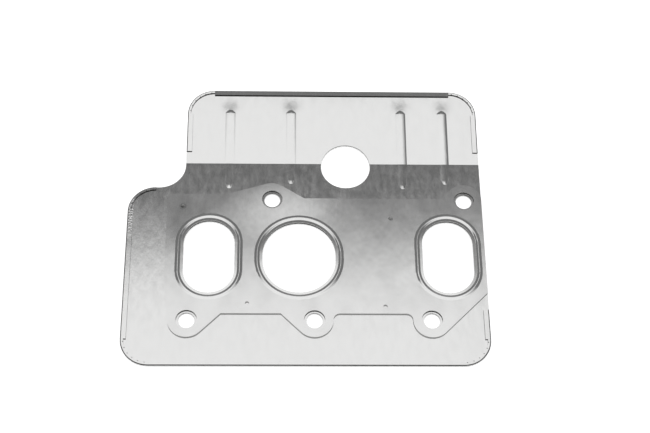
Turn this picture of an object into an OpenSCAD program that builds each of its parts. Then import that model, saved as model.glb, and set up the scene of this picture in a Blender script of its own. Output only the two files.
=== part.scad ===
// Exhaust manifold gasket: two beaded sealing layers clinched on a hemmed heat shield.
// Datum: X from the middle of the shield, Y from the centre line of the two oval ports,
// Z from the underside of the shield. The finished part is centred on its own footprint.

/* [Heat shield] */
// Thickness of the shield's sheet
shield_t = 0.5; // [0.4:0.05:0.7]
// Overall width of the shield
shield_w = 194; // [190:1:200]
// Port centre line down to the bottom edge
shield_down = 63.8; // [60:0.2:70]
// Port centre line up to the bend
bend_y = 58.8; // [57:0.2:64]
// Port centre line up to the top of the left shoulder
shoulder_y = 43.1; // [41:0.1:44]
// Width of the left shoulder, where the upper panel is narrower
shoulder_w = 30.8; // [30:0.2:34]
// Length of the upper panel from the bend to its top edge
panel_len = 46.4; // [42:0.2:52]
// Angle that the upper panel is bent up
bend_angle = 4.5; // [3:0.25:8]
// Radius of the outer corners
corner_r = 15; // [12:0.5:15]
// Radius of the inner corner beside the shoulder
inner_r = 14.5; // [10:0.5:14.5]

/* [Hems] */
// Width of the folded-over hem on straight edges
hem_w = 3; // [2.2:0.1:4]
// Width of the hem round the corners
corner_hem_w = 1.7; // [1.4:0.1:2.2]
// Gap inside the fold
hem_gap = 0.2; // [0.1:0.05:0.4]
// Bend up to the cut ends of the upper side hems
upper_hem_start = 7.4; // [4:0.2:14]
// Bottom edge up to the cut end of the lower right hem
lower_hem_len = 32.2; // [26:0.2:40]
// Rise of the top edge's hem at its free edge
top_hem_lift = 0.15; // [0:0.01:0.3]
// Pleats pressed in each corner's hem
pleats = 6; // [2:1:9]
// Radius of a pleat at the hem's free edge
pleat_r = 0.4; // [0.3:0.02:0.4]

/* [Stiffening ribs] */
// Width of a rib at the sheet
rib_w = 4.5; // [3.5:0.1:6]
// Height of a rib above the sheet
rib_h = 0.8; // [0.5:0.05:1.2]
// Rib length above the bend
rib_up = 34.4; // [24:0.2:36]
// Length below the bend of the first and third rib
long_rib_down = 16; // [13:0.2:17]
// Length below the bend of the second and fourth rib
short_rib_down = 13; // [8:0.2:13.5]
// Distance of the first rib from the middle of the shield
rib_x1 = -42.1; // [-46:0.1:-38]
// Distance of the second rib from the middle of the shield
rib_x2 = -7.9; // [-12:0.1:-4]
// Distance of the third rib from the middle of the shield
rib_x3 = 54.1; // [50:0.1:58]
// Distance of the fourth rib from the middle of the shield
rib_x4 = 77.6; // [73:0.1:81]

/* [Pass-through hole] */
// Diameter of the hole on the bend
pass_d = 27.3; // [24:0.1:29]
// Distance of the hole from the middle of the shield
pass_x = 22.4; // [18:0.1:28]
// Distance of the hole below the bend
pass_drop = 1.9; // [0:0.1:3]

/* [Ports] */
// Width of an oval port
oval_w = 28.2; // [26:0.1:30]
// Length of an oval port
oval_len = 45.8; // [42:0.1:48]
// Width of the middle port
middle_w = 39.8; // [36:0.1:42]
// Length of the middle port
middle_len = 43.6; // [42:0.1:46]
// Distance of the left port from the middle of the shield
left_port_x = -52.5; // [-54:0.1:-51]
// Distance of the middle port from the middle of the shield
middle_port_x = -3.6; // [-5:0.1:-2]
// Distance of the right port from the middle of the shield
right_port_x = 77.2; // [76:0.1:78]
// Distance of the middle port below the port centre line
middle_port_drop = 1.3; // [0:0.1:2]

/* [Sealing layers] */
// Thickness of one sealing layer
layer_t = 0.25; // [0.2:0.01:0.3]
// Left edge from the middle of the shield
layer_left = 75.6; // [75:0.1:78]
// Port centre line up to the top edge left of the lobe
layer_top_left = 38.5; // [37:0.1:39]
// Port centre line up to the top edge right of the lobe
layer_top_right = 36; // [34:0.1:36.5]
// Port centre line down to the bottom edge
layer_down = 34.2; // [33:0.1:35]
// Radius of the lobes round the bolt holes
lobe_r = 10; // [9.5:0.1:11]
// Radius of the inside corners beside the lobes
web_r = 3.5; // [2:0.1:3.5]
// Radius of the top left corner
layer_corner_r = 5; // [2:0.5:8]
// Start of the left edge's taper, below the port centre line
taper_drop = 12; // [4:1:20]

/* [Beads] */
// Height of a bead
bead_h = 0.5; // [0.3:0.05:0.6]
// Flat land between a port's edge and its bead
bead_land = 0.8; // [0.5:0.05:1]
// Width of the slope on the port's side
bead_inner = 0.9; // [0.6:0.05:1.2]
// Flat on the crest
bead_crest = 0.4; // [0.2:0.05:0.6]
// Width of the slope on the outer side
bead_outer = 1.3; // [0.9:0.05:1.4]

/* [Bolt holes] */
// Hole in the shield, which guides the stud
bolt_d = 8.8; // [8.4:0.1:9.2]
// Hole in the sealing layers
layer_bolt_d = 11.4; // [10.6:0.1:12]
// Bottom row of holes below the port centre line
bottom_bolt_drop = 37.9; // [37:0.1:39]
// Top left hole above the port centre line
top_left_bolt_y = 35.6; // [35:0.1:36]
// Top right hole above the port centre line
top_right_bolt_y = 34.9; // [34:0.1:36]
// Bottom left hole from the middle of the shield
bolt_x1 = -62.9; // [-64:0.1:-62]
// Bottom middle hole from the middle of the shield
bolt_x2 = 4.5; // [3:0.1:6]
// Bottom right hole from the middle of the shield
bolt_x3 = 66.5; // [65:0.1:68]
// Top left hole from the middle of the shield
bolt_x4 = -18.4; // [-20:0.1:-17]
// Top right hole from the middle of the shield
bolt_x5 = 87.3; // [86:0.1:88]

/* [Clinches] */
// Inside diameter of a clinch, seen from above
clinch_d = 1.6; // [1.2:0.1:2]
// Clearance round a clinch in the shield
clinch_clear = 0.05; // [0.02:0.01:0.1]
// Clinch beside the left port, across and up
clinch_a = [-66.9, 31.8];
// Clinch left of the right port, across and up
clinch_b = [46.5, 24.1];
// Clinch below the left and middle ports, across and up
clinch_c = [-31.2, -28];
// Clinch near the bottom edge, across and up
clinch_d_at = [42.1, -29.7];

/* [Hidden] */
$fn = 96;

// Faces and steps
bead_steps = 5;
through = 20;
joint = 0.2;
overrun = 1;

// Shield
side_x = shield_w / 2;
step_x = -side_x + shoulder_w;
fold_r = (2 * shield_t + hem_gap) / 2;
hem_top = 2 * fold_r;
shield_bottom = -shield_down;
rib_r = (rib_w * rib_w / 4 + rib_h * rib_h) / (2 * rib_h);
rib_axis_z = shield_t + rib_h - rib_r;

// Stack of layers: the lower layer's beads stand on the shield
lower_z = shield_t + bead_h;
upper_z = lower_z + layer_t;
bead_w = bead_land + bead_inner + bead_crest + bead_outer;

// Ports as [centre x, centre y, width, length]
ports = [
  [left_port_x, 0, oval_w, oval_len],
  [middle_port_x, -middle_port_drop, middle_w, middle_len],
  [right_port_x, 0, oval_w, oval_len]
];

// Bolt holes
bottom_left = [bolt_x1, -bottom_bolt_drop];
bottom_middle = [bolt_x2, -bottom_bolt_drop];
bottom_right = [bolt_x3, -bottom_bolt_drop];
top_left = [bolt_x4, top_left_bolt_y];
top_right = [bolt_x5, top_right_bolt_y];
bolts = [bottom_left, bottom_middle, bottom_right, top_left, top_right];
clinches = [clinch_a, clinch_b, clinch_c, clinch_d_at];
outer_cup_d = clinch_d + 2 * layer_t;
cup_floor = 0.05;

// Ribs: where they stand, and how far they run from the bend
rib_x = [rib_x1, rib_x2, rib_x3, rib_x4];
ribs_up = [rib_up, rib_up, rib_up, rib_up];
ribs_down = [long_rib_down, short_rib_down, long_rib_down, short_rib_down];

// Middle of the footprint, which becomes the origin
panel_reach = (panel_len - fold_r) * cos(bend_angle) - fold_r * sin(bend_angle) + fold_r;
centre_y = (bend_y + panel_reach + shield_bottom) / 2;

// Point of a lobe whose outward direction has this angle
function lobe_point(centre, angle) = centre + lobe_r * [cos(angle), sin(angle)];
// Where the tangent at that lobe point meets the level y
function edge_point(centre, angle, y) =
  let (p = lobe_point(centre, angle), t = (y - p.y) / cos(angle))
  [p.x - t * sin(angle), y];

// Height of a bead's surface at distance d from the port's edge
function ramp(s) = (1 - cos(180 * s)) / 2;
crest_end = bead_land + bead_inner + bead_crest;
rise = [for (i = [0 : bead_steps])
  [bead_land + bead_inner * i / bead_steps, bead_h * ramp(i / bead_steps)]];
fall = [for (i = [0 : bead_steps])
  [crest_end + bead_outer * i / bead_steps, bead_h * ramp(1 - i / bead_steps)]];
bead_line = concat([[0, 0]], rise, fall, [[bead_w + joint, 0]]);
bead_count = len(bead_line);
bead_section = concat(
  bead_line,
  [for (i = [bead_count - 1 : -1 : 0]) bead_line[i] + [0, layer_t]]
);

module centred() {
  translate([0, -centre_y, 0]) children();
}

// A slot outline standing along Y
module slot(w, length) {
  half = (length - w) / 2;
  translate([-w / 2, -half]) square([w, 2 * half]);
  for (y = [-half, half]) translate([0, y]) circle(d = w);
}

module port_cuts(grow = 0) {
  for (p = ports) translate([p[0], p[1]]) slot(p[2] + 2 * grow, p[3] + 2 * grow);
}

// Fills an inside corner at the origin, between +X and +Y, with radius r
module web(r) {
  difference() {
    square(r);
    translate([r, r]) circle(r = r);
  }
}

// Outline of the two sealing layers
module layer_outline() {
  intersection() {
    difference() {
      union() {
        polygon([
          [-layer_left, layer_top_left],
          [-layer_left, -taper_drop],
          [bolt_x1 - lobe_r, -bottom_bolt_drop],
          bottom_left,
          lobe_point(bottom_left, -45),
          edge_point(bottom_left, -45, -layer_down),
          edge_point(bottom_middle, -135, -layer_down),
          lobe_point(bottom_middle, -135),
          bottom_middle,
          [bolt_x2 + lobe_r, -bottom_bolt_drop],
          [bolt_x2 + lobe_r, -layer_down],
          [bolt_x3 - lobe_r, -layer_down],
          [bolt_x3 - lobe_r, -bottom_bolt_drop],
          bottom_right,
          lobe_point(bottom_right, -45),
          lobe_point(bottom_right, -45) + [side_x, side_x],
          [side_x, top_right_bolt_y],
          top_right,
          lobe_point(top_right, 135),
          edge_point(top_right, 135, layer_top_right),
          edge_point(top_left, 57, layer_top_right),
          lobe_point(top_left, 57),
          top_left,
          lobe_point(top_left, 107),
          edge_point(top_left, 107, layer_top_left)
        ]);
        for (b = bolts) translate(b) circle(r = lobe_r);
        translate([bolt_x2 + lobe_r, -layer_down]) mirror([0, 1]) web(web_r);
        translate([bolt_x3 - lobe_r, -layer_down]) mirror([1, 0]) mirror([0, 1]) web(web_r);
      }
      translate([-layer_left, layer_top_left]) mirror([0, 1]) web(layer_corner_r);
    }
    translate([-side_x, -side_x]) square(shield_w);
  }
}

// One bead round a port, its sheet's underside at Z 0
module bead(w, length) {
  half = (length - w) / 2;
  for (turn = [0, 180]) rotate([0, 0, turn]) {
    translate([0, half, 0])
      rotate_extrude(angle = 180) translate([w / 2, 0]) polygon(bead_section);
    rotate([90, 0, 0])
      linear_extrude(2 * half, center = true) translate([w / 2, 0]) polygon(bead_section);
  }
}

// A clinch's cup, from the level of its sheet's top face down to its floor
module cup(top_z, floor_z, bore_d) {
  translate([0, 0, floor_z]) difference() {
    cylinder(h = top_z - floor_z, d = bore_d + 2 * layer_t);
    translate([0, 0, layer_t]) cylinder(h = top_z - floor_z, d = bore_d);
  }
}

// A sheet with a bead round each port, beads up, its underside at Z 0
module beaded_sheet(cup_bore_d) {
  linear_extrude(layer_t) difference() {
    layer_outline();
    port_cuts(bead_w);
    for (b = bolts) translate(b) circle(d = layer_bolt_d);
    for (c = clinches) translate(c) circle(d = cup_bore_d);
  }
  for (p = ports) translate([p[0], p[1], 0]) bead(p[2], p[3]);
}

module upper_bead_layer() {
  color([0.72, 0.72, 0.71]) centred() {
    translate([0, 0, upper_z]) beaded_sheet(clinch_d);
    for (c = clinches) translate(c) cup(upper_z + layer_t, cup_floor + layer_t, clinch_d);
  }
}

module lower_bead_layer() {
  color([0.62, 0.62, 0.61]) centred() {
    translate([0, 0, upper_z]) mirror([0, 0, 1]) beaded_sheet(outer_cup_d);
    for (c = clinches) translate(c) cup(upper_z, cup_floor, outer_cup_d);
  }
}

// Section of a hem: X runs inwards from the folded edge, Y is height
module hem_section(w, lift) {
  intersection() {
    translate([fold_r, fold_r]) difference() {
      circle(r = fold_r);
      circle(r = fold_r - shield_t);
    }
    square([fold_r, hem_top]);
  }
  polygon([
    [fold_r, hem_top],
    [fold_r, hem_top - shield_t],
    [w, hem_top - shield_t + lift],
    [w, hem_top + lift]
  ]);
}

// A straight hem along +Y, folded in towards +X; flat draws the strip that the fold takes up
module hem_run(length, flat, lift = 0) {
  if (flat)
    square([fold_r, length]);
  else
    translate([0, length, 0]) rotate([90, 0, 0]) linear_extrude(length) hem_section(hem_w, lift);
}

// A hem round a corner's centre, over the quarter turn that starts at this angle
module hem_turn(start, flat) {
  rotate([0, 0, start])
    if (flat)
      intersection() {
        difference() {
          circle(r = corner_r);
          circle(r = corner_r - fold_r);
        }
        square(corner_r);
      }
    else {
      rotate_extrude(angle = 90) translate([corner_r, 0]) mirror([1, 0]) hem_section(corner_hem_w, 0);
      for (i = [0 : pleats - 1]) rotate([0, 0, 90 * (i + 0.5) / pleats]) pleat();
    }
}

// A pucker of spare sheet, which dies out towards the fold
module pleat() {
  translate([corner_r - fold_r, 0, hem_top - shield_t + pleat_r - hem_gap / 2])
    rotate([0, -90, 0]) cylinder(h = corner_hem_w - fold_r, r1 = pleat_r / 20, r2 = pleat_r);
}

// Hems of the flat part of the shield
module lower_hems(flat) {
  translate([-side_x, shield_bottom + corner_r])
    hem_run(shoulder_y - shield_bottom - 2 * corner_r, flat);
  translate([side_x - corner_r, shield_bottom]) rotate([0, 0, 90])
    hem_run(shield_w - 2 * corner_r, flat);
  translate([side_x, shield_bottom + lower_hem_len]) rotate([0, 0, 180])
    hem_run(lower_hem_len - corner_r, flat);
  translate([-side_x + corner_r, shoulder_y - corner_r]) hem_turn(90, flat);
  translate([-side_x + corner_r, shield_bottom + corner_r]) hem_turn(180, flat);
  translate([side_x - corner_r, shield_bottom + corner_r]) hem_turn(270, flat);
}

// Hems of the upper panel, in the panel's own plane with the bend along X
module panel_hems(flat) {
  side_run = panel_len - corner_r - upper_hem_start;
  translate([step_x, upper_hem_start]) hem_run(side_run, flat);
  translate([step_x + corner_r, panel_len]) rotate([0, 0, -90])
    hem_run(side_x - step_x - 2 * corner_r, flat, top_hem_lift);
  translate([side_x, panel_len - corner_r]) rotate([0, 0, 180]) hem_run(side_run, flat);
  translate([step_x + corner_r, panel_len - corner_r]) hem_turn(90, flat);
  translate([side_x - corner_r, panel_len - corner_r]) hem_turn(0, flat);
}

// The corner beside the upper panel that is cut out of both panels, with a round inside corner
module shoulder_cut() {
  translate([step_x, shoulder_y]) mirror([1, 0]) difference() {
    square([shoulder_w + overrun, bend_y - shoulder_y + through]);
    web(inner_r);
  }
}

// Flat part of the shield past the bend, without the folds
module lower_outline() {
  difference() {
    union() {
      translate([-side_x, shield_bottom]) square([shield_w, shoulder_y - shield_bottom]);
      translate([step_x - inner_r - overrun, 0])
        square([side_x - step_x + inner_r + overrun, bend_y + overrun]);
    }
    translate([-side_x, shoulder_y]) mirror([0, 1]) web(corner_r);
    translate([-side_x, shield_bottom]) web(corner_r);
    translate([side_x, shield_bottom]) mirror([1, 0]) web(corner_r);
    lower_hems(true);
    port_cuts();
    for (b = bolts) translate(b) circle(d = bolt_d);
    for (c = clinches) translate(c) circle(d = outer_cup_d + 2 * layer_t + 2 * clinch_clear);
  }
}

// Upper panel in its own plane, without the folds
module panel_outline() {
  difference() {
    union() {
      translate([step_x, -overrun]) square([side_x - step_x, panel_len + overrun]);
      translate([step_x - overrun, -overrun]) square([2 * overrun, upper_hem_start + overrun]);
    }
    translate([step_x, panel_len]) mirror([0, 1]) web(corner_r);
    translate([side_x, panel_len]) mirror([1, 0]) mirror([0, 1]) web(corner_r);
    panel_hems(true);
  }
}

// Turns a child from the panel's own plane up about the bend
module on_panel() {
  translate([0, bend_y, 0]) rotate([bend_angle, 0, 0]) children();
}

// A round-ended rod along +Y, whose top shows through the sheet as a rib
module rib_rod(r, length) {
  rod = length - rib_w / 2;
  translate([0, 0, rib_axis_z]) {
    translate([0, -overrun, 0]) rotate([-90, 0, 0]) cylinder(h = rod + overrun, r = r);
    translate([0, rod, 0]) sphere(r = r);
  }
}

// The ribs of both panels, as rods that cross at the bend
module rib_rods(r) {
  for (i = [0 : 3]) {
    translate([rib_x[i], bend_y, 0]) mirror([0, 1, 0]) rib_rod(r, ribs_down[i]);
    on_panel() translate([rib_x[i], 0, 0]) rib_rod(r, ribs_up[i]);
  }
}

// Everything above a sheet's underside
module above() {
  translate([-shield_w, -shield_w, 0]) cube([2 * shield_w, 2 * shield_w, through]);
}

// The two panels with their ribs raised, bent but not hemmed
module bent_sheet() {
  difference() {
    intersection() {
      union() {
        linear_extrude(shield_t) lower_outline();
        on_panel() linear_extrude(shield_t) panel_outline();
        rib_rods(rib_r);
      }
      above();
      on_panel() above();
    }
    translate([0, 0, -through / 2]) linear_extrude(through) shoulder_cut();
    rib_rods(rib_r - shield_t);
    translate([pass_x, bend_y - pass_drop, -through / 2]) cylinder(h = through, d = pass_d);
  }
}

module heat_shield() {
  color([0.86, 0.86, 0.85]) centred() {
    bent_sheet();
    lower_hems(false);
    on_panel() panel_hems(false);
  }
}

heat_shield();
lower_bead_layer();
upper_bead_layer();
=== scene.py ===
import math

import bmesh
import bpy
from mathutils import Matrix, Vector


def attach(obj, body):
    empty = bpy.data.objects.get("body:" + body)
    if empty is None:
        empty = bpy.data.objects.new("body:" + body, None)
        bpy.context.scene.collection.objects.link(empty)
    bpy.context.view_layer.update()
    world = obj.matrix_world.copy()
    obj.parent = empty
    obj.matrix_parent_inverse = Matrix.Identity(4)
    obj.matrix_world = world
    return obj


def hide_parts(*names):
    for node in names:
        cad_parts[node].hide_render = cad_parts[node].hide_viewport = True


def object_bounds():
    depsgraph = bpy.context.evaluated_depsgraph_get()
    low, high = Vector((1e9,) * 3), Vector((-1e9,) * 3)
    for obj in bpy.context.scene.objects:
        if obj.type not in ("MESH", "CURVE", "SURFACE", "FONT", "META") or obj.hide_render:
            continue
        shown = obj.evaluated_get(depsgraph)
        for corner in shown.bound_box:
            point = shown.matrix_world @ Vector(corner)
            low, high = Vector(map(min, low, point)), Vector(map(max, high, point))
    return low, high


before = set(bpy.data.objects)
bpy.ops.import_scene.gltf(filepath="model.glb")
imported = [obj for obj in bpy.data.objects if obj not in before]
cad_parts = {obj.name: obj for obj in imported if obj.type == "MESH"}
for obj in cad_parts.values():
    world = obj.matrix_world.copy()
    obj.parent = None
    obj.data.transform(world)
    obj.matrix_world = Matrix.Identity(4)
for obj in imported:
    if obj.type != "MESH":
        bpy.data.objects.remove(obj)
cadLow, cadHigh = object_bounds()
print("frame loaded:", sorted(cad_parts))


# Small helpers for node trees

def newNode(tree, kind, place, **values):
    node = tree.nodes.new(kind)
    node.location = place
    for name, value in values.items():
        setattr(node, name, value)
    return node


def link(tree, source, target):
    tree.links.new(source, target)


def mathNode(tree, operation, place, first, second=None):
    node = newNode(tree, "ShaderNodeMath", place, operation=operation)
    for socket, value in zip(node.inputs, (first, second)):
        if value is None:
            continue
        if isinstance(value, (int, float)):
            socket.default_value = value
        else:
            link(tree, value, socket)
    return node.outputs[0]


def smoothRange(tree, place, value, start, end, low=0.0, high=1.0):
    node = newNode(tree, "ShaderNodeMapRange", place, interpolation_type="SMOOTHSTEP")
    link(tree, value, node.inputs["Value"])
    node.inputs["From Min"].default_value = start
    node.inputs["From Max"].default_value = end
    node.inputs["To Min"].default_value = low
    node.inputs["To Max"].default_value = high
    return node.outputs["Result"]


def ramp(tree, place, value, stops):
    low, high = stops[0][0], stops[-1][0]
    scaled = newNode(tree, "ShaderNodeMapRange", place)
    link(tree, value, scaled.inputs["Value"])
    scaled.inputs["From Min"].default_value = low
    scaled.inputs["From Max"].default_value = high
    curve = newNode(tree, "ShaderNodeValToRGB", (place[0] + 200, place[1]))
    link(tree, scaled.outputs["Result"], curve.inputs["Fac"])
    elements = curve.color_ramp.elements
    while len(elements) < len(stops):
        elements.new(0.5)
    for element, (at, level) in zip(elements, stops):
        element.position = (at - low) / (high - low)
        element.color = (level, level, level, 1)
    return curve.outputs["Color"]


# Sheet metal: a fine bump, soft leans of the surface, and painted shade on cut edges and folds

shieldFinish = {
    "colour": (0.80, 0.80, 0.795),
    "smooth": 0.09,
    "rough": 0.125,
    "spots": 330.0,          # mottling across the rolling direction, per metre
    "stretch": 0.4,          # mottling is drawn out along Y
    "waveDepth": 0.00003,
    # painted shade: steep faces (cut edges, hem folds, clinch cups) are coloured near-black for the
    # shadow in the gaps beside them and the dark they reflect
    "edge": (0.045, 0.045, 0.043),
    "edgeShadeFlat": 0.97,        # how level a face is where the painted edge shade starts and is full
    "edgeShadeSteep": 0.85,
    "streaks": {
        "from": 0.0,         # Y where they start and where they are full
        "full": 0.022,
        "scale": 300.0,
        "stretch": 0.45,
        "light": 1.02,
        "dark": 0.76,
    },
    "grain": 2600.0,         # fine rolling lines, per metre
    "grainDepth": 0.0000006,
    "crimps": {              # along the left hem, from these distances left of the middle
        "from": 0.0936,
        "full": 0.0942,
        "low": -0.012,       # Y where they start and where they are full
        "high": 0.012,
        "scale": 900.0,
        "depth": 0.00012,
    },
    "leans": (
        {"at": (0.015, 0.0838), "reach": (0.12, 0.013), "lean": (0.0, 0.014)},
        *(
            {"at": (rib, 0.0738), "reach": (0.010, 0.0085), "lean": (0.0, 0.030)}
            for rib in (-0.0421, -0.0079, 0.0541, 0.0776)
        ),
    ),
}

layerFinish = {
    "colour": (0.80, 0.80, 0.795),
    "smooth": 0.10,
    "rough": 0.14,
    "spots": 60.0,
    "stretch": 0.6,
    "waveDepth": 0.00006,
    # painted shade, lighter than on the shield: the layers' steep cut edges get a grey for the
    # shade of the gap under them
    "edge": (0.42, 0.42, 0.415),
    "edgeShadeFlat": 0.80,
    "edgeShadeSteep": 0.50,
    "streaks": {
        "from": -0.02,
        "full": 0.02,
        "scale": 300.0,
        "stretch": 0.25,
        "light": 1.01,
        "dark": 0.93,
    },
    "grain": 2200.0,
    "grainDepth": 0.0000004,
    "crimps": None,
    "leans": (
        {"at": (-0.011, 0.0111), "reach": (0.045, 0.032), "lean": (0.0, -0.021)},
        {"at": (-0.068, 0.0011), "reach": (0.026, 0.028), "lean": (0.0, 0.010)},
        {"at": (-0.0669, 0.009994), "reach": (0.0022, 0.0022), "lean": (0.0, 0.25)},
        {"at": (0.0465, 0.002794), "reach": (0.0014, 0.0014), "lean": (0.0, 0.15)},
    ),
}

texture = {
    "spotDetail": 3.0,
    "spotRoughness": 0.6,
    "streakDetail": 4.0,
    "streakRoughness": 0.65,
    "contrast": (0.3, 0.7),          # part of a noise's range that becomes dark to light
    "streakEnd": (0.0384, 0.0380),   # Y at the bend, where the streaks stop
    "grainStretch": 0.02,
    "grainDetail": 2.0,
    "edgeRoughness": 0.38,
}


def leaning(tree, position, normal, leans):
    for index, spot in enumerate(leans):
        row = -600 - 220 * index
        place = newNode(tree, "ShaderNodeVectorMath", (-500, row), operation="SUBTRACT")
        link(tree, position, place.inputs[0])
        place.inputs[1].default_value = (*spot["at"], 0)
        scaled = newNode(tree, "ShaderNodeVectorMath", (-300, row), operation="MULTIPLY")
        link(tree, place.outputs[0], scaled.inputs[0])
        scaled.inputs[1].default_value = (1 / spot["reach"][0], 1 / spot["reach"][1], 0)
        away = newNode(tree, "ShaderNodeVectorMath", (-100, row), operation="LENGTH")
        link(tree, scaled.outputs[0], away.inputs[0])
        weight = smoothRange(tree, (100, row), away.outputs["Value"], 1.0, 0.0)
        lean = newNode(tree, "ShaderNodeVectorMath", (300, row), operation="SCALE")
        lean.inputs[0].default_value = (*spot["lean"], 0)
        link(tree, weight, lean.inputs["Scale"])
        total = newNode(tree, "ShaderNodeVectorMath", (500, row), operation="ADD")
        link(tree, normal, total.inputs[0])
        link(tree, lean.outputs[0], total.inputs[1])
        normal = total.outputs[0]
    unit = newNode(tree, "ShaderNodeVectorMath", (700, -600), operation="NORMALIZE")
    link(tree, normal, unit.inputs[0])
    return unit.outputs[0]


def streaked(tree, position, finish):
    streaks = finish["streaks"]
    mapping = newNode(tree, "ShaderNodeMapping", (-900, 900))
    mapping.inputs["Scale"].default_value = (1.0, streaks["stretch"], 1.0)
    link(tree, position, mapping.inputs["Vector"])
    noise = newNode(tree, "ShaderNodeTexNoise", (-700, 900))
    noise.inputs["Scale"].default_value = streaks["scale"]
    noise.inputs["Detail"].default_value = texture["streakDetail"]
    noise.inputs["Roughness"].default_value = texture["streakRoughness"]
    link(tree, mapping.outputs[0], noise.inputs["Vector"])
    tones = (streaks["dark"], streaks["light"])
    shade = smoothRange(tree, (-500, 900), noise.outputs["Fac"], *texture["contrast"], *tones)
    axes = newNode(tree, "ShaderNodeSeparateXYZ", (-700, 700))
    link(tree, position, axes.inputs[0])
    worn = smoothRange(tree, (-500, 700), axes.outputs["Y"], streaks["from"], streaks["full"])
    below = smoothRange(tree, (-500, 600), axes.outputs["Y"], *texture["streakEnd"])
    worn = mathNode(tree, "MULTIPLY", (-300, 700), worn, below)
    level = newNode(tree, "ShaderNodeMix", (-100, 800), data_type="FLOAT")
    link(tree, worn, level.inputs["Factor"])
    level.inputs["A"].default_value = 1.0
    link(tree, shade, level.inputs["B"])
    tone = newNode(tree, "ShaderNodeVectorMath", (100, 800), operation="SCALE")
    tone.inputs[0].default_value = finish["colour"]
    link(tree, level.outputs["Result"], tone.inputs["Scale"])
    return tone.outputs[0]


def crimped(tree, position, normal, crimps):
    axes = newNode(tree, "ShaderNodeSeparateXYZ", (-900, -3300))
    link(tree, position, axes.inputs[0])
    leftwards = mathNode(tree, "MULTIPLY", (-700, -3300), axes.outputs["X"], -1.0)
    beside = smoothRange(tree, (-500, -3300), leftwards, crimps["from"], crimps["full"])
    along = smoothRange(tree, (-500, -3500), axes.outputs["Y"], crimps["low"], crimps["high"])
    noise = newNode(tree, "ShaderNodeTexNoise", (-700, -3700))
    noise.inputs["Scale"].default_value = crimps["scale"]
    link(tree, position, noise.inputs["Vector"])
    share = mathNode(tree, "MULTIPLY", (-300, -3400), beside, along)
    height = mathNode(tree, "MULTIPLY", (-100, -3500), share, noise.outputs["Fac"])
    bump = newNode(tree, "ShaderNodeBump", (100, -3500))
    bump.inputs["Distance"].default_value = crimps["depth"]
    link(tree, height, bump.inputs["Height"])
    link(tree, normal, bump.inputs["Normal"])
    return bump.outputs[0]


def sheetMetal(name, finish):
    material = bpy.data.materials.new(name)
    material.use_nodes = True
    tree = material.node_tree
    tree.nodes.clear()
    output = newNode(tree, "ShaderNodeOutputMaterial", (1200, 0))
    shader = newNode(tree, "ShaderNodeBsdfPrincipled", (900, 0))
    shader.inputs["Metallic"].default_value = 1.0
    link(tree, shader.outputs[0], output.inputs["Surface"])

    position = newNode(tree, "ShaderNodeTexCoord", (-900, 0)).outputs["Object"]
    mapping = newNode(tree, "ShaderNodeMapping", (-700, 0))
    mapping.inputs["Scale"].default_value = (1.0, finish["stretch"], 1.0)
    link(tree, position, mapping.inputs["Vector"])
    spots = newNode(tree, "ShaderNodeTexNoise", (-450, 150))
    spots.inputs["Scale"].default_value = finish["spots"]
    spots.inputs["Detail"].default_value = texture["spotDetail"]
    spots.inputs["Roughness"].default_value = texture["spotRoughness"]
    link(tree, mapping.outputs[0], spots.inputs["Vector"])

    # painted shade: folded and cut edges, where the sheet turns away from lying flat, get the dark
    # edge colour; their higher roughness is the edges' own duller finish
    shape = newNode(tree, "ShaderNodeNewGeometry", (-900, 500))
    axes = newNode(tree, "ShaderNodeSeparateXYZ", (-700, 500))
    link(tree, shape.outputs["True Normal"], axes.inputs[0])
    level = mathNode(tree, "ABSOLUTE", (-500, 500), axes.outputs["Z"])
    edge = smoothRange(tree, (-300, 500), level, finish["edgeShadeFlat"], finish["edgeShadeSteep"])
    colour = newNode(tree, "ShaderNodeMix", (300, 300), data_type="RGBA")
    link(tree, edge, colour.inputs["Factor"])
    link(tree, streaked(tree, position, finish), colour.inputs["A"])
    colour.inputs["B"].default_value = (*finish["edge"], 1)
    link(tree, colour.outputs["Result"], shader.inputs["Base Color"])
    span = (finish["smooth"], finish["rough"])
    spotRough = smoothRange(tree, (-100, 300), spots.outputs["Fac"], *texture["contrast"], *span)
    rough = newNode(tree, "ShaderNodeMix", (300, 100), data_type="FLOAT")
    link(tree, edge, rough.inputs["Factor"])
    link(tree, spotRough, rough.inputs["A"])
    rough.inputs["B"].default_value = texture["edgeRoughness"]
    link(tree, rough.outputs["Result"], shader.inputs["Roughness"])

    grainMap = newNode(tree, "ShaderNodeMapping", (-700, -300))
    grainMap.inputs["Scale"].default_value = (1.0, texture["grainStretch"], 1.0)
    link(tree, position, grainMap.inputs["Vector"])
    grain = newNode(tree, "ShaderNodeTexNoise", (-450, -300))
    grain.inputs["Scale"].default_value = finish["grain"]
    grain.inputs["Detail"].default_value = texture["grainDetail"]
    link(tree, grainMap.outputs[0], grain.inputs["Vector"])

    wave = newNode(tree, "ShaderNodeBump", (100, -100))
    wave.inputs["Distance"].default_value = finish["waveDepth"]
    link(tree, spots.outputs["Fac"], wave.inputs["Height"])
    lines = newNode(tree, "ShaderNodeBump", (300, -200))
    lines.inputs["Distance"].default_value = finish["grainDepth"]
    link(tree, grain.outputs["Fac"], lines.inputs["Height"])
    link(tree, wave.outputs[0], lines.inputs["Normal"])
    relief = lines.outputs[0]
    if finish["crimps"]:
        relief = crimped(tree, position, relief, finish["crimps"])
    normal = leaning(tree, position, relief, finish["leans"])
    link(tree, normal, shader.inputs["Normal"])
    return material


# Sheets: a merged copy of each solid, with lower ribs and wider, rounder rings, in millimetres

perMetre = 1000

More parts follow.
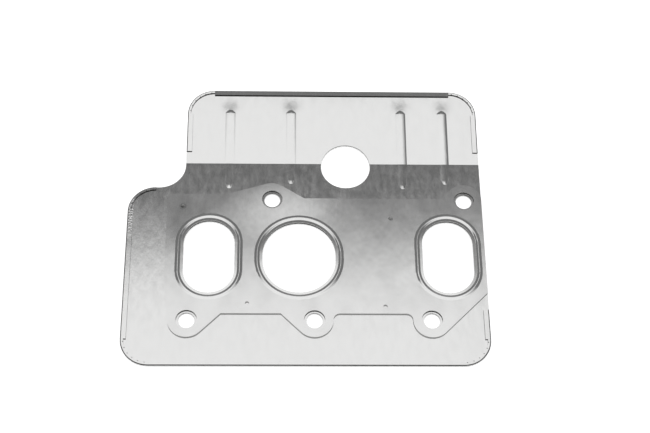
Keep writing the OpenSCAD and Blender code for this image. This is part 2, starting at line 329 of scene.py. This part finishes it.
ribForm = {
    "places": (-42.1, -7.9, 54.1, 77.6),
    "half": 2.3,             # half a rib's width in the solid
    "wider": 1.24,
    "tip": 0.50,             # how much of that width is lost towards a rib's end
    "height": (0.27, 0.27, 0.29, 0.29),    # share of each rib's height that stays
    "upperEnd": 2.6,         # half the width over which the height falls to nothing at an end
    "lowerEnd": 1.2,
    "atBend": (0.16, 0.16, 0.27, 0.27),    # share of it that stays at the bend
    "bend": 38.194,
    "tilt": 4.5,             # of the upper panel, in degrees
    "sheet": 0.5,
    "down": (13.75, 10.75, 13.75, 10.75),    # from the bend to where each rounded end starts
    "up": 32.15,
    "end": 2.25,
    "pastTip": 1.2,          # how far past its start, in ends, an end's vertices are taken
    "tiny": 0.001,           # above the bend from here on
    "nearEnd": -0.01,        # a vertex past this belongs to an end
    "nearBend": 1.0,
}

beadSteps = {                # from a port's edge: land, slopes and crest
    "solid": (0.0, 0.8, 1.7, 2.1, 3.4),
    "shown": (0.0, 1.4, 2.6, 2.9, 4.3),
}
ringReach = {"beyond": 0.25, "centre": 0.01}    # farther out or nearer in, a vertex stays


def portRing(at, to, straight, edge):
    return {
        "at": at,
        "to": to,
        "straight": straight,    # half the length of its straight sides, in the solid and as shown
        "solid": [edge[0] + step for step in beadSteps["solid"]],
        "shown": [edge[1] + step for step in beadSteps["shown"]],
        "lip": edge[1],
    }


def roundRing(at, to, solid, shown):
    return {"at": at, "to": to, "straight": (0.0, 0.0), "solid": solid, "shown": shown}


studRings = ((0.0, 4.4, 5.7), (0.0, 4.4, 5.6))
clinchRings = ((0.0, 0.8, 1.05, 1.3, 1.35), (0.0, 1.1, 1.35, 1.6, 1.65))
rings = (
    portRing((-52.5, -20.606), (-52.1, -20.606), (8.8, 8.15), (14.1, 13.85)),
    portRing((-3.6, -21.906), (-3.6, -21.106), (1.9, 1.55), (19.9, 19.8)),
    portRing((77.2, -20.606), (76.9, -20.606), (8.8, 8.15), (14.1, 13.85)),
    roundRing((-62.9, -58.506), (-62.9, -58.506), *studRings),
    roundRing((4.5, -58.506), (4.5, -58.506), *studRings),
    roundRing((66.5, -58.506), (66.5, -58.506), *studRings),
    roundRing((-18.4, 14.994), (-18.2, 14.694), *studRings),
    roundRing((87.3, 14.294), (87.3, 14.194), *studRings),
    roundRing((-66.9, 11.194), (-66.9, 9.994), *clinchRings),
    roundRing((46.5, 3.494), (46.5, 2.794), *clinchRings),
    roundRing((-31.2, -48.606), (-31.2, -48.906), *clinchRings),
    roundRing((42.1, -50.306), (42.1, -50.606), *clinchRings),
)


def stepped(value, before, after):
    for low, high, start, end in zip(before, before[1:], after, after[1:]):
        if value <= high:
            return start + (end - start) * (value - low) / (high - low)
    return after[-1]


def fitRings(mesh, lip, rim):
    for vert in mesh.verts:
        x, y, z = vert.co * perMetre
        for ring in rings:
            fromX, fromY = x - ring["at"][0], y - ring["at"][1]
            half, halfShown = ring["straight"]
            along = max(-half, min(half, fromY))
            away = math.hypot(fromX, fromY - along)
            beyond = ring["solid"][-1] + ringReach["beyond"]
            if away > beyond or away < ringReach["centre"]:
                continue
            shown = stepped(away, ring["solid"], ring["shown"])
            alongShown = along * halfShown / half if half else 0.0
            x = ring["to"][0] + fromX * shown / away
            y = ring["to"][1] + alongShown + (fromY - along) * shown / away
            if "lip" in ring:
                z += lip * max(0.0, 1 - (shown - ring["lip"]) / beadSteps["shown"][1])
            vert.co = (x / perMetre, y / perMetre, z / perMetre)
            break
        else:
            if rim and z < rim["below"]:
                vert.co.z = rim["at"] / perMetre


def softenRibs(mesh):
    tilt = math.radians(ribForm["tilt"])
    mesh.normal_update()
    for vert in mesh.verts:
        x, y, z = vert.co * perMetre
        fromBend = y - ribForm["bend"]
        forms = zip(ribForm["places"], ribForm["down"], ribForm["height"], ribForm["atBend"])
        rib, down, along, atBend = min(forms, key=lambda form: abs(x - form[0]))
        upper = fromBend > ribForm["tiny"]
        pastEnd = (fromBend - ribForm["up"] if upper else -fromBend - down) / ribForm["end"]
        if abs(x - rib) > ribForm["half"] or pastEnd > ribForm["pastTip"]:
            continue
        height = z * math.cos(tilt) - fromBend * math.sin(tilt) if upper else z
        base = ribForm["sheet"] if vert.normal.z > 0 else 0.0
        share = along if abs(fromBend) > ribForm["nearBend"] else atBend
        if pastEnd > ribForm["nearEnd"]:
            narrow = ribForm["upperEnd"] if upper else ribForm["lowerEnd"]
            share *= max(0.0, 1 - ((x - rib) / narrow) ** 2)
        if vert.normal.z > 0:
            lost = ribForm["tip"] * min(1.0, max(0.0, pastEnd))
            x = rib + (x - rib) * (ribForm["wider"] - lost)
        drop = (height - base) * (1 - share)
        y += drop * math.sin(tilt) if upper else 0.0
        z -= drop * math.cos(tilt) if upper else drop
        vert.co = (x / perMetre, y / perMetre, z / perMetre)


folds = {"flat": 0.99995, "straight": 0.02, "sharp": math.radians(40)}


def roundFolds(mesh, gentle):
    tilt = math.radians(ribForm["tilt"])
    planes = (Vector((0, 0, 1)), Vector((0, -math.sin(tilt), math.cos(tilt))))
    mesh.normal_update()
    runs = (Vector((0, 1, 0)), Vector((0, math.cos(tilt), math.sin(tilt))))
    kinds = {}
    for face in mesh.faces:
        face.smooth = True
        flat = max(abs(face.normal.dot(plane)) for plane in planes) > folds["flat"]
        straight = tuple(abs(face.normal.dot(run)) < folds["straight"] for run in runs)
        kinds[face] = (flat, straight, abs(face.normal.z) > gentle)
    for edge in mesh.edges:
        beside = {kinds[face] for face in edge.link_faces}
        small = edge.calc_face_angle(math.pi) < folds["sharp"]
        edge.smooth = small and len(beside) == 1 and not beside.pop()[0]


def sheetPiece(name, form, material):
    mesh = bmesh.new()
    mesh.from_mesh(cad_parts[form["node"]].data)
    bmesh.ops.remove_doubles(mesh, verts=mesh.verts, dist=form["merge"])
    if form["ribs"]:
        softenRibs(mesh)
    fitRings(mesh, form["lip"], form["rim"])
    roundFolds(mesh, form["gentle"])
    data = bpy.data.meshes.new(name)
    mesh.to_mesh(data)
    mesh.free()
    piece = bpy.data.objects.new(name, data)
    bpy.context.scene.collection.objects.link(piece)
    piece.data.materials.append(material)
    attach(piece, "root")
    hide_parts(form["node"])


layerSheet = sheetMetal("layerSheet", layerFinish)
shieldSheet = sheetMetal("shieldSheet", shieldFinish)

heatShield = {
    "node": "heat_shield",
    "slot": "shield_sheet",
    "merge": 0.000001,
    "ribs": True,
    "lip": 0.0,
    "rim": None,
    "gentle": 1.0,           # faces more level than this are smoothed apart from steeper ones
}
sheetPiece("heatShield", heatShield, shieldSheet)

lowerLayer = {
    "node": "lower_bead_layer",
    "slot": "layer_sheet",
    "merge": 0.000001,
    "ribs": False,
    "lip": 0.0,
    "rim": {"below": 1.05, "at": 0.53},    # its underside is drawn down to the shield
    "gentle": 0.9962,
}
sheetPiece("lowerLayer", lowerLayer, layerSheet)

upperLayer = {
    "node": "upper_bead_layer",
    "slot": "layer_sheet",
    "merge": 0.000001,
    "ribs": False,
    "lip": 0.08,             # rise of the ports' edges
    "rim": None,
    "gentle": 0.9962,
}
sheetPiece("upperLayer", upperLayer, layerSheet)
print("sheets ready")


# Studio: one broad light overhead, drawn in the world by a direction's run along or across per rise

studio = {
    "along": (
        (-0.95, 0.0),
        (-0.65, 1.0),
        (0.520, 1.0),
        (0.540, 0.42),
        (0.556, 0.14),
        (0.575, 0.04),
        (0.59, 0.0),
    ),
    "across": ((-0.60, 0.0), (-0.20, 1.0), (0.16, 1.0), (0.36, 0.0)),
    "flareFrom": 0.30,       # towards the near side the light gets wider, from here
    "flareTo": 0.0,
    "flareWider": 3.0,
    "light": 0.80,
    "room": 0.19,
    "horizon": 0.6,
    "horizonTop": 0.15,      # sine of the elevation where the pale horizon ends
    "lowest": 0.001,
}


def makeWorld():
    world = bpy.data.worlds.new("studio")
    bpy.context.scene.world = world
    world.use_nodes = True
    tree = world.node_tree
    tree.nodes.clear()
    output = newNode(tree, "ShaderNodeOutputWorld", (1400, 0))
    coordinates = newNode(tree, "ShaderNodeTexCoord", (-900, 0))
    axes = newNode(tree, "ShaderNodeSeparateXYZ", (-700, 0))
    link(tree, coordinates.outputs["Generated"], axes.inputs[0])
    x, y, z = axes.outputs
    height = mathNode(tree, "MAXIMUM", (-500, -200), z, studio["lowest"])
    across = mathNode(tree, "DIVIDE", (-300, 200), x, height)
    along = mathNode(tree, "DIVIDE", (-300, 0), y, height)
    alongLight = ramp(tree, (-100, 200), along, studio["along"])
    flare = (studio["flareFrom"], studio["flareTo"], 1.0, studio["flareWider"])
    wider = smoothRange(tree, (-250, -50), along, *flare)
    across = mathNode(tree, "DIVIDE", (-200, 100), across, wider)
    acrossLight = ramp(tree, (-100, -100), across, studio["across"])
    mask = mathNode(tree, "MULTIPLY", (350, 200), alongLight, acrossLight)
    pale = (studio["horizonTop"], 0.0, studio["room"], studio["horizon"])
    horizon = smoothRange(tree, (-100, -350), z, *pale)
    overhead = mathNode(tree, "MULTIPLY", (500, 100), mask, studio["light"])
    total = mathNode(tree, "ADD", (650, 0), overhead, horizon)
    lit = newNode(tree, "ShaderNodeBackground", (800, -100))
    lit.inputs["Color"].default_value = (1, 1, 1, 1)
    link(tree, total, lit.inputs["Strength"])
    white = newNode(tree, "ShaderNodeBackground", (800, 100))
    white.inputs["Color"].default_value = (1, 1, 1, 1)
    path = newNode(tree, "ShaderNodeLightPath", (800, 400))
    mix = newNode(tree, "ShaderNodeMixShader", (1100, 0))
    link(tree, path.outputs["Is Camera Ray"], mix.inputs[0])
    link(tree, lit.outputs[0], mix.inputs[1])
    link(tree, white.outputs[0], mix.inputs[2])
    link(tree, mix.outputs[0], output.inputs["Surface"])


floorLook = {
    "size": 8.0,
    "colour": (0.9, 0.9, 0.9),
    "glow": 0.9,
    "drop": 0.0009,          # thin dark gap under the shield's edges
    "gap": 0.004,            # painted shadow: how near an object dims the floor's glow
    "samples": 8,
    "clear": (0.15, 0.75),
}


def makeFloor():
    under = cadLow.z - floorLook["drop"]
    bpy.ops.mesh.primitive_plane_add(size=floorLook["size"], location=(0, 0, under))
    floor = bpy.context.object
    floor.name = "floor"
    material = bpy.data.materials.new("floorWhite")
    material.use_nodes = True
    tree = material.node_tree
    tree.nodes.clear()
    output = newNode(tree, "ShaderNodeOutputMaterial", (800, 0))
    matte = newNode(tree, "ShaderNodeBsdfDiffuse", (200, 100))
    matte.inputs["Color"].default_value = (*floorLook["colour"], 1)
    glow = newNode(tree, "ShaderNodeEmission", (200, -100))
    path = newNode(tree, "ShaderNodeLightPath", (-400, -200))
    camera, glossy = path.outputs["Is Camera Ray"], path.outputs["Is Glossy Ray"]
    seen = mathNode(tree, "MAXIMUM", (-200, -200), camera, glossy)
    seen = mathNode(tree, "MAXIMUM", (-100, -300), seen, path.outputs["Is Transmission Ray"])
    # painted shadow: ambient occlusion dims the floor's white glow near and under the object
    paintedShadowAO = newNode(tree, "ShaderNodeAmbientOcclusion", (-400, -500))
    paintedShadowAO.samples = floorLook["samples"]
    paintedShadowAO.inputs["Distance"].default_value = floorLook["gap"]
    clear = smoothRange(tree, (-200, -500), paintedShadowAO.outputs["AO"], *floorLook["clear"])
    seen = mathNode(tree, "MULTIPLY", (-50, -350), seen, clear)
    strength = mathNode(tree, "MULTIPLY", (0, -200), seen, floorLook["glow"])
    link(tree, strength, glow.inputs["Strength"])
    both = newNode(tree, "ShaderNodeAddShader", (500, 0))
    link(tree, matte.outputs[0], both.inputs[0])
    link(tree, glow.outputs[0], both.inputs[1])
    link(tree, both.outputs[0], output.inputs["Surface"])
    floor.data.materials.append(material)


makeWorld()
makeFloor()
print("studio ready")


# Camera, in front of the gasket and well above it

view = {
    "target": (0.0107, 0.0048, 0.0),
    "distance": 0.817,
    "elevation": 60.32,
    "turn": 3.65,
    "roll": 3.44,
    "lens": 82.65,
    "sensor": 36.0,
}


def makeCamera():
    data = bpy.data.cameras.new("camera")
    data.lens = view["lens"]
    data.sensor_width = view["sensor"]
    camera = bpy.data.objects.new("camera", data)
    bpy.context.scene.collection.objects.link(camera)
    turn = Matrix.Rotation(-math.radians(view["turn"]), 4, "Z")
    pitch = Matrix.Rotation(math.radians(90 - view["elevation"]), 4, "X")
    roll = Matrix.Rotation(math.radians(view["roll"]), 4, "Z")
    back = Matrix.Translation((0, 0, view["distance"]))
    camera.matrix_world = Matrix.Translation(view["target"]) @ turn @ pitch @ roll @ back
    bpy.context.scene.camera = camera


makeCamera()
bpy.context.scene.view_settings.view_transform = "Standard"
print("camera ready")
